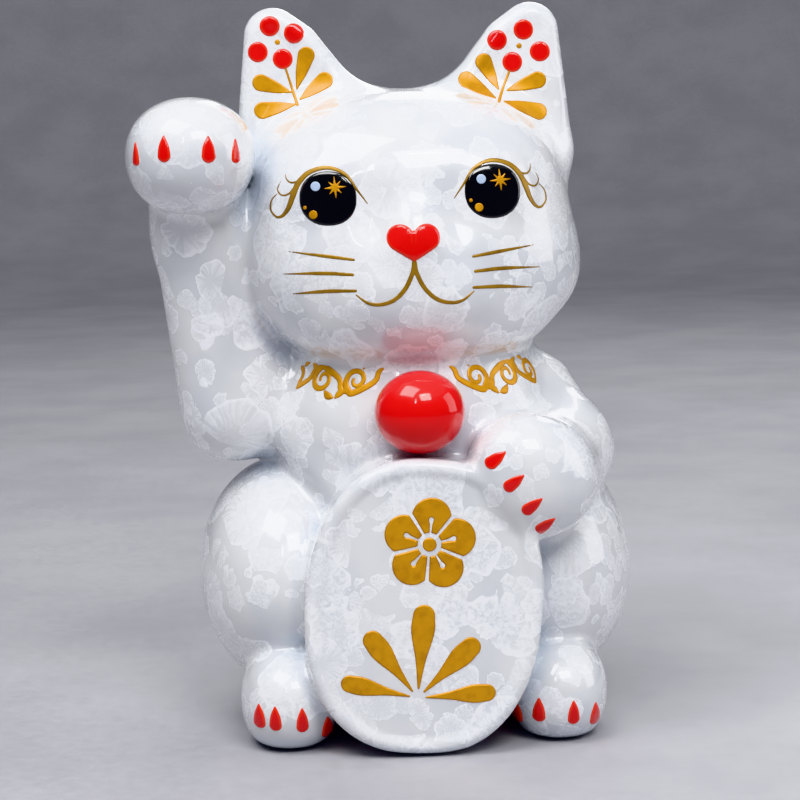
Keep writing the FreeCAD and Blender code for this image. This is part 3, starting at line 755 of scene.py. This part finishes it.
def relax(field, points, faces, rounds=4):
    """Evens out the mesh along the surface, for smooth reflections."""
    edges = np.concatenate([faces[:, [n, (n + 1) % 4]] for n in range(4)])
    for _ in range(rounds):
        total = np.zeros_like(points)
        count = np.zeros(len(points))
        for a, b in ((0, 1), (1, 0)):
            np.add.at(total, edges[:, a], points[edges[:, b]])
            np.add.at(count, edges[:, a], 1)
        pull = total / count[:, None] - points
        normal = unit(slope(field, points))
        pull -= (pull * normal).sum(1, keepdims=True) * normal
        points = settle(field, points + 0.5 * pull, rounds=1)
    return settle(field, points, rounds=2)


def make_mesh(name, points, faces, normals=None, depth=None):
    """A Blender object from points in millimetres. Normals and depths are one for each point."""
    mesh = bpy.data.meshes.new(name)
    mesh.from_pydata((np.asarray(points) * MM).tolist(), [], [list(map(int, face)) for face in faces])
    mesh.update()
    mesh.polygons.foreach_set("use_smooth", [True] * len(mesh.polygons))
    if normals is not None:
        mesh.normals_split_custom_set_from_vertices(normals.tolist())
    if depth is not None:
        mesh.attributes.new("depth", "FLOAT", "POINT").data.foreach_set("value", depth.tolist())
    thing = bpy.data.objects.new(name, mesh)
    bpy.context.scene.collection.objects.link(thing)
    return thing


def open_loops(faces):
    """The loops of edges that only one face has, in the order that a closing face needs."""
    following = {}
    directed = Counter((int(f[n]), int(f[(n + 1) % len(f)])) for f in faces for n in range(len(f)))
    for (start, end), times in directed.items():
        alone = times - directed.get((end, start), 0)
        if alone > 0:
            following.setdefault(end, []).extend([start] * alone)
    loops = []
    while following:
        start = next(iter(following))
        loop = [start]
        while True:
            choices = following[loop[-1]]
            step = choices.pop()
            if not choices:
                del following[loop[-1]]
            if step == start:
                break
            loop.append(step)
        loops.append(loop)
    return loops


CAP_DEPTH = 2.0  # how far under the glaze a casting's closing face starts


def casting_parts(points, faces):
    """The cat's mesh split by casting, each part closed where it meets the next."""
    fields = np.stack([field(points.T) for field in CASTINGS.values()])
    hidden = skin(points.T) < -1.5  # on a hollow's wall: it goes with the head or the body
    owner = fields.argmin(0)
    names = list(CASTINGS)
    upper = points[hidden][:, 2] > BODY_TOP
    owner[hidden] = np.where(upper, names.index("head_shell"), names.index("body_shell"))
    for _ in range(5):  # straightens the borders and drops islands
        face_owner = np.stack([(owner[faces] == number).sum(1) for number in range(len(names))]).argmax(0)
        votes = np.zeros((len(names), len(points)))
        for corner in faces.T:
            np.add.at(votes, (face_owner, corner), 1)
        owner = votes.argmax(0)
    outward = unit(slope(cat, points))
    for number, name in enumerate(names):
        own = faces[face_owner == number]
        kept, local = np.unique(own, return_inverse=True)
        own = local.reshape(own.shape)
        spots, normals = points[kept], outward[kept]
        caps = []
        for loop in open_loops(own):
            inner = spots[loop] - CAP_DEPTH * normals[loop]
            first, count = len(spots), len(loop)
            spots = np.vstack([spots, inner, inner.mean(0)])
            normals = np.vstack([normals, normals[loop], normals[loop[0]]])
            for n in range(count):
                following = (n + 1) % count
                caps.append((loop[n], loop[following], first + following, first + n))
                caps.append((first + n, first + following, first + count))
        yield name, spots, own.tolist() + caps, normals


# ---------------------------------------- materials


class Shader:
    """A material's node tree, built by short calls. Its coordinates are object space in millimetres."""

    def __init__(self, name):
        self.material = bpy.data.materials.new(name)
        self.material.use_nodes = True
        self.tree = self.material.node_tree
        self.surface = self.tree.nodes["Principled BSDF"]
        place = self.tree.nodes.new("ShaderNodeTexCoord").outputs["Object"]
        self.place = self.vector("MULTIPLY", place, (1 / MM,) * 3)

    def node(self, kind, inputs, **settings):
        node = self.tree.nodes.new(f"ShaderNode{kind}")
        for name, value in settings.items():
            setattr(node, name, value)
        for name, value in inputs.items():
            self.feed(node.inputs[name], value)
        return node

    def feed(self, socket, value):
        if isinstance(value, bpy.types.NodeSocket):
            self.tree.links.new(value, socket)
        else:
            socket.default_value = value

    def set(self, **inputs):
        """Sets the surface's own sockets: words are joined by _."""
        for name, value in inputs.items():
            self.feed(self.surface.inputs[name.replace("_", " ")], value)

    def math(self, operation, *values, clamp=False):
        return self.node("Math", dict(enumerate(values)), operation=operation, use_clamp=clamp).outputs[0]

    def vector(self, operation, *values):
        node = self.node("VectorMath", dict(enumerate(values)), operation=operation)
        return node.outputs["Value" if operation in ("LENGTH", "DISTANCE", "DOT_PRODUCT") else "Vector"]

    def ramp(self, value, low, high, to_low=0.0, to_high=1.0, kind="SMOOTHSTEP"):
        inputs = {"Value": value, "From Min": low, "From Max": high, "To Min": to_low, "To Max": to_high}
        return self.node("MapRange", inputs, interpolation_type=kind).outputs[0]

    def noise(self, place, scale, detail=2.0, rough=0.5):
        inputs = {"Vector": place, "Scale": scale, "Detail": detail, "Roughness": rough}
        return self.node("TexNoise", inputs).outputs

    def mix(self, factor, first, second):
        inputs = {"Factor": factor, "A": first, "B": second}
        node = self.tree.nodes.new("ShaderNodeMix")
        node.data_type = "RGBA"
        for socket in node.inputs:
            if socket.enabled and socket.name in inputs:
                self.feed(socket, inputs[socket.name])
        return next(socket for socket in node.outputs if socket.enabled)

    def bump(self, height, distance, strength=1.0):
        inputs = {"Height": height, "Distance": distance, "Strength": strength}
        return self.node("Bump", inputs).outputs[0]


def colour(red, green, blue):
    """A colour for a socket, from sRGB parts of 255."""
    linear = [((c / 255 + 0.055) / 1.055) ** 2.4 if c > 10 else c / 255 / 12.92 for c in (red, green, blue)]
    return (*linear, 1.0)


def crystals(shader, size, share, offset):
    """Fans of crystals in the glaze: patches with fine rays and a bright scalloped rim, size mm apart.

    Gives how bright the crystal is and how high it stands, both 0 where there is none.
    """
    shifted = shader.vector("ADD", shader.place, (offset, 2 * offset, 3 * offset))
    wobble = shader.vector("SUBTRACT", shader.noise(shifted, 1.2 / size)["Color"], (0.5,) * 3)
    wobble = shader.vector("MULTIPLY", wobble, (0.35 * size,) * 3)
    place = shader.vector("ADD", shifted, wobble)
    cells = shader.node("TexVoronoi", {"Vector": place, "Scale": 1 / size}, voronoi_dimensions="3D").outputs
    seeds = shader.node("SeparateColor", {"Color": cells["Color"]}).outputs
    from_seed = shader.vector("SUBTRACT", place, cells["Position"])
    own = shader.vector("MULTIPLY", cells["Color"], (9.0,) * 3)
    fan = shader.vector("ADD", shader.vector("NORMALIZE", from_seed), own)
    rays = shader.ramp(shader.noise(fan, 6.0, 4.0, 0.7)["Fac"], 0.36, 0.66)
    away = shader.math("DIVIDE", shader.vector("LENGTH", from_seed), size)
    scallops = shader.math("MULTIPLY", shader.noise(fan, 1.7, 1.0)["Fac"], 0.3)
    reach = shader.math("ADD", shader.ramp(seeds[0], 0.0, 1.0, 0.25, 0.6, "LINEAR"), scallops)
    inside = shader.math("SUBTRACT", reach, away)
    patch = shader.ramp(inside, 0.0, 0.025)
    rim = shader.ramp(inside, 0.09, 0.02)
    grown = shader.ramp(seeds[1], 1 - share, 1.04 - share)
    fill = shader.math("ADD", 0.18, shader.math("MULTIPLY", rays, shader.ramp(away, 0.0, 0.5, 0.15, 0.7)))
    glow = shader.math("ADD", fill, shader.math("MULTIPLY", rim, 0.55), clamp=True)
    patch = shader.math("MULTIPLY", patch, grown)
    return shader.math("MULTIPLY", glow, patch), shader.math("MULTIPLY", shader.math("ADD", rays, 1.0), patch)


CRYSTAL_LAYERS = ((17, 0.6, 11), (10.5, 0.5, 37), (5.5, 0.45, 71))  # size in mm, share that grew, offset


def white_glaze():
    """Porcelain under a clear glaze full of blue-white crystals. The ring that it stands on is bare clay."""
    shader = Shader("white_glaze")
    glow = relief = None
    for layer in CRYSTAL_LAYERS:
        more_glow, more_relief = crystals(shader, *layer)
        glow = shader.math("MAXIMUM", glow, more_glow) if glow else more_glow
        relief = shader.math("MAXIMUM", relief, more_relief) if relief else more_relief
    cloud = shader.ramp(shader.noise(shader.place, 0.05, 3.0)["Fac"], 0.35, 0.65)
    body = shader.mix(cloud, colour(227, 228, 229), colour(214, 217, 222))
    strength = shader.ramp(shader.noise(shader.place, 0.03)["Fac"], 0.3, 0.6, 0.6, 1.0)
    glow = shader.math("MULTIPLY", glow, strength)
    glazed = shader.mix(glow, body, colour(250, 252, 255))
    # Painted shade in the creases: where ambient occlusion finds a crease, the glaze is mixed towards a darker
    # blue, partly for the thicker glaze that pools there and partly as painted shade.
    pooled_glaze_and_shade = shader.node("AmbientOcclusion", {"Distance": 9 * MM}, samples=8).outputs["AO"]
    pooled_glaze_and_shade = shader.ramp(pooled_glaze_and_shade, 0.35, 0.8, 0.5, 0.0)
    glazed = shader.mix(pooled_glaze_and_shade, glazed, colour(198, 210, 226))
    height = shader.node("SeparateXYZ", {"Vector": shader.place}).outputs["Z"]
    grain = shader.noise(shader.place, 2.0, 4.0)["Fac"]
    bare = shader.ramp(shader.math("ADD", height, shader.math("MULTIPLY", grain, 0.5)), 0.75, 0.55)
    clay = shader.mix(grain, colour(214, 205, 190), colour(188, 178, 160))
    rough = shader.ramp(glow, 0.0, 1.0, 0.2, 0.4)
    rough = shader.math("ADD", rough, shader.math("MULTIPLY", bare, 0.4), clamp=True)
    shader.set(
        Base_Color=shader.mix(bare, glazed, clay),
        Roughness=rough,
        Normal=shader.bump(relief, 0.05 * MM, 0.4),
        Subsurface_Weight=0.1,
        Subsurface_Radius=(1.0, 0.95, 0.9),
        Subsurface_Scale=1.0 * MM,
        Coat_Weight=shader.math("SUBTRACT", 1.0, bare),
        Coat_Roughness=0.03,
        Coat_IOR=1.55,
    )
    return shader.material


def red_enamel(name="red_enamel", pale=(242, 66, 34), deep=(216, 10, 5), rim=0.5):
    """Glossy overglaze red, deeper where it is thick and fading to orange at a brushed edge."""
    shader = Shader(name)
    depth = shader.node("Attribute", {}, attribute_name="depth", attribute_type="GEOMETRY").outputs["Fac"]
    streaks = shader.noise(shader.place, 0.9, 3.0)["Fac"]
    thick = shader.ramp(shader.math("ADD", depth, shader.math("MULTIPLY", streaks, 0.25)), 0.1, 0.1 + rim * 2)
    pooled = shader.mix(shader.noise(shader.place, 0.25, 2.0)["Fac"], colour(*deep), colour(228, 16, 9))
    shader.set(
        Specular_IOR_Level=0.25,
        Base_Color=shader.mix(thick, colour(*pale), pooled),
        Roughness=shader.ramp(streaks, 0.3, 0.7, 0.16, 0.26),
        Normal=shader.bump(shader.noise(shader.place, 0.5, 2.0)["Fac"], 0.05 * MM, 0.3),
        Coat_Weight=1.0,
        Coat_Roughness=0.02,
    )
    return shader.material


def gold_lustre(name="gold_lustre", light=(222, 160, 34), dark=(176, 116, 14)):
    """Painted gold: brushed on unevenly, thin and darker at its edges, with a fine metallic grain."""
    shader = Shader(name)
    depth = shader.node("Attribute", {}, attribute_name="depth", attribute_type="GEOMETRY").outputs["Fac"]
    grain = shader.noise(shader.place, 9.0, 2.0, 0.7)["Fac"]
    wash = shader.noise(shader.place, 0.35, 3.0)["Fac"]
    tone = shader.math("ADD", shader.math("MULTIPLY", wash, 0.8), shader.math("MULTIPLY", grain, 0.5))
    tone = shader.ramp(shader.math("ADD", tone, shader.math("MULTIPLY", depth, 0.25)), 0.45, 1.05)
    shader.set(
        Base_Color=shader.mix(tone, colour(*dark), colour(*light)),
        Metallic=0.45,
        Roughness=shader.ramp(grain, 0.3, 0.7, 0.3, 0.5),
        Normal=shader.bump(grain, 0.02 * MM, 0.6),
        Coat_Weight=0.25,
        Coat_Roughness=0.12,
    )
    return shader.material


def black_enamel():
    """Glossy black, thinner and faintly brown at its edge."""
    shader = Shader("black_enamel")
    depth = shader.node("Attribute", {}, attribute_name="depth", attribute_type="GEOMETRY").outputs["Fac"]
    wash = shader.noise(shader.place, 0.6, 3.0)["Fac"]
    shader.set(
        Base_Color=shader.mix(shader.ramp(depth, 0.0, 0.35), colour(46, 34, 24), colour(7, 7, 10)),
        Roughness=shader.ramp(wash, 0.3, 0.7, 0.08, 0.16),
        Normal=shader.bump(wash, 0.04 * MM, 0.3),
        Coat_Weight=1.0,
        Coat_Roughness=0.02,
    )
    return shader.material


def white_enamel():
    """Pale blue-white dots of light in the eyes."""
    shader = Shader("white_enamel")
    wash = shader.noise(shader.place, 1.2, 3.0)["Fac"]
    shader.set(
        Base_Color=shader.mix(wash, colour(196, 214, 236), colour(160, 182, 212)),
        Roughness=shader.ramp(wash, 0.3, 0.7, 0.15, 0.3),
        Coat_Weight=0.6,
        Coat_Roughness=0.04,
    )
    return shader.material


def stopper_rubber():
    """Milky soft rubber with a moulded grain and a little dust."""
    shader = Shader("stopper_rubber")
    grain = shader.noise(shader.place, 4.0, 4.0, 0.6)["Fac"]
    dust = shader.ramp(shader.noise(shader.place, 0.3, 4.0)["Fac"], 0.5, 0.75)
    shader.set(
        Base_Color=shader.mix(dust, colour(222, 219, 210), colour(196, 190, 178)),
        Roughness=shader.ramp(grain, 0.3, 0.7, 0.5, 0.7),
        Normal=shader.bump(grain, 0.05 * MM, 0.4),
        Subsurface_Weight=0.2,
        Subsurface_Radius=(1.0, 0.9, 0.7),
        Subsurface_Scale=2 * MM,
    )
    return shader.material


# ---------------------------------------- making

def dress(piece, node, material, slot):
    """Gives a piece its material and says what it is part of."""
    piece.data.materials.append(material)
    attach(piece, "cat")
    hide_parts(node)


GLAZE = white_glaze()
PAINTS = {
    "red_enamel": red_enamel(),
    "gold_lustre": gold_lustre(),
    "black_enamel": black_enamel(),
    "white_enamel": white_enamel(),
}
FINE_GOLD = gold_lustre("fine_gold_lustre", (172, 132, 46), (112, 80, 20))
BELL_RED = red_enamel("bell_red_enamel", (244, 12, 6), (228, 6, 3), 0.4)


def make_castings():
    """The glazed castings, cut from one mesh."""
    points, faces = surface_net(cat, *[np.array(corner) / MM for corner in CAD_BOX], VOXEL)
    points = relax(cat, settle(cat, points), faces)
    for name, spots, polygons, normals in casting_parts(points, faces):
        piece = make_mesh(f"{name}_glazed", spots, polygons, normals)
        dress(piece, name, GLAZE, "white_glaze")


def make_bell():
    """The bell, finer than the castings. All of it is as deep in colour as the middle of a drawing."""
    points, faces = surface_net(bell, low("bell") - 1, high("bell") + 1, VOXEL * 0.6)
    points = relax(bell, settle(bell, points), faces)
    piece = make_mesh("bell_ball", points, faces, unit(slope(bell, points)), np.ones(len(points)))
    dress(piece, "bell", BELL_RED, "red_enamel")


def make_enamel():
    """The painted pieces. The lines of the face are in a darker, thinner gold."""
    for name, node, slot, points, faces, depth in enamel():
        piece = make_mesh(f"{name}_paint", points, faces, depth=depth)
        fine = node in ("whisker_lines", "mouth_line", "eyelid_lines")
        dress(piece, node, FINE_GOLD if fine else PAINTS[slot], slot)


def finish_stopper():
    """The stopper keeps its CAD shape and gets its rubber."""
    rubber = stopper_rubber()
    for slot in bpy.data.objects["drain_stopper"].material_slots:
        slot.material = rubber


make_castings()
make_bell()
make_enamel()
finish_stopper()

# ---------------------------------------- stage, lights and camera


def area_light(name, at, towards, size, power):
    lamp = bpy.data.lights.new(name, "AREA")
    lamp.shape = "RECTANGLE"
    lamp.size, lamp.size_y = size
    lamp.energy = power
    thing = bpy.data.objects.new(name, lamp)
    thing.location = at
    thing.rotation_euler = (Vector(towards) - Vector(at)).to_track_quat("-Z", "Y").to_euler()
    bpy.context.scene.collection.objects.link(thing)


def camera():
    """A camera a little above the cat and to its right, rolled slightly."""
    distance, azimuth, elevation, roll = 0.65, -3, 7, 1.5
    aim = Vector((-0.0029, 0, 0.0891))
    a, e = math.radians(azimuth), math.radians(elevation)
    back = Vector((math.sin(a) * math.cos(e), -math.cos(a) * math.cos(e), math.sin(e)))
    lens = bpy.data.cameras.new("camera")
    lens.sensor_width = 36
    lens.lens = 102.7
    lens.clip_start = 0.01
    thing = bpy.data.objects.new("camera", lens)
    turn = (-back).to_track_quat("-Z", "Y").to_matrix() @ Matrix.Rotation(math.radians(-roll), 3, "Z")
    thing.matrix_world = Matrix.Translation(aim + back * distance) @ turn.to_4x4()
    bpy.context.scene.collection.objects.link(thing)
    bpy.context.scene.camera = thing


def floor():
    """A pale table that curves up into a far wall on every side."""
    reach, bend, tall, steps = 1.6, 0.8, 2.2, 96
    profile = [(0.0, 0.0), (reach, 0.0)]
    for a in np.linspace(0.15, math.pi / 2, 12):
        profile.append((reach + bend * math.sin(a), bend * (1 - math.cos(a))))
    profile.append((reach + bend, tall))
    turns = [2 * math.pi * n / steps for n in range(steps)]
    points = [(0.0, 0.0, 0.0)] + [(r * math.cos(t), r * math.sin(t), z) for r, z in profile[1:] for t in turns]
    faces = [(0, 1 + n, 1 + (n + 1) % steps) for n in range(steps)]
    for ring in range(len(profile) - 2):
        a, b = 1 + ring * steps, 1 + (ring + 1) * steps
        faces += [(a + n, b + n, b + (n + 1) % steps, a + (n + 1) % steps) for n in range(steps)]
    thing = make_mesh("floor", np.array(points) / MM, faces)
    shader = Shader("pale_table")
    broad = shader.noise(shader.place, 0.012, 5.0, 0.6)["Fac"]
    fine = shader.noise(shader.place, 0.25, 4.0, 0.6)["Fac"]
    tone = shader.math("ADD", shader.math("MULTIPLY", broad, 0.7), shader.math("MULTIPLY", fine, 0.3))
    shader.set(
        Base_Color=shader.mix(shader.ramp(tone, 0.35, 0.65), colour(166, 165, 171), colour(178, 177, 182)),
        Roughness=shader.ramp(fine, 0.3, 0.7, 0.55, 0.7),
        Normal=shader.bump(fine, 0.1 * MM, 0.3),
    )
    thing.data.materials.append(shader.material)


floor()
camera()
area_light("key", (-0.35, -0.35, 1.0), (0, 0, 0.1), (0.6, 0.5), 7)
area_light("front", (0.25, -0.85, 1.0), (0, 0, 0.1), (0.5, 0.4), 7)
area_light("fill", (0.95, -0.1, 0.4), (0, 0, 0.1), (0.5, 0.7), 2.2)
area_light("back", (0.3, 0.9, 0.8), (0, 0, 0.1), (0.6, 0.4), 3)
area_light("left_strip", (-0.16, -0.75, 0.62), (0, 0, 0.14), (0.02, 0.18), 0.35)
area_light("right_strip", (0.12, -0.6, 0.85), (0, 0, 0.14), (0.16, 0.015), 0.35)
world = bpy.data.worlds.new("studio")
world.use_nodes = True
world.node_tree.nodes["Background"].inputs[0].default_value = (0.92, 0.95, 1.0, 1)
world.node_tree.nodes["Background"].inputs[1].default_value = 0.6
bpy.context.scene.world = world
bpy.context.scene.view_settings.view_transform = "Khronos PBR Neutral"
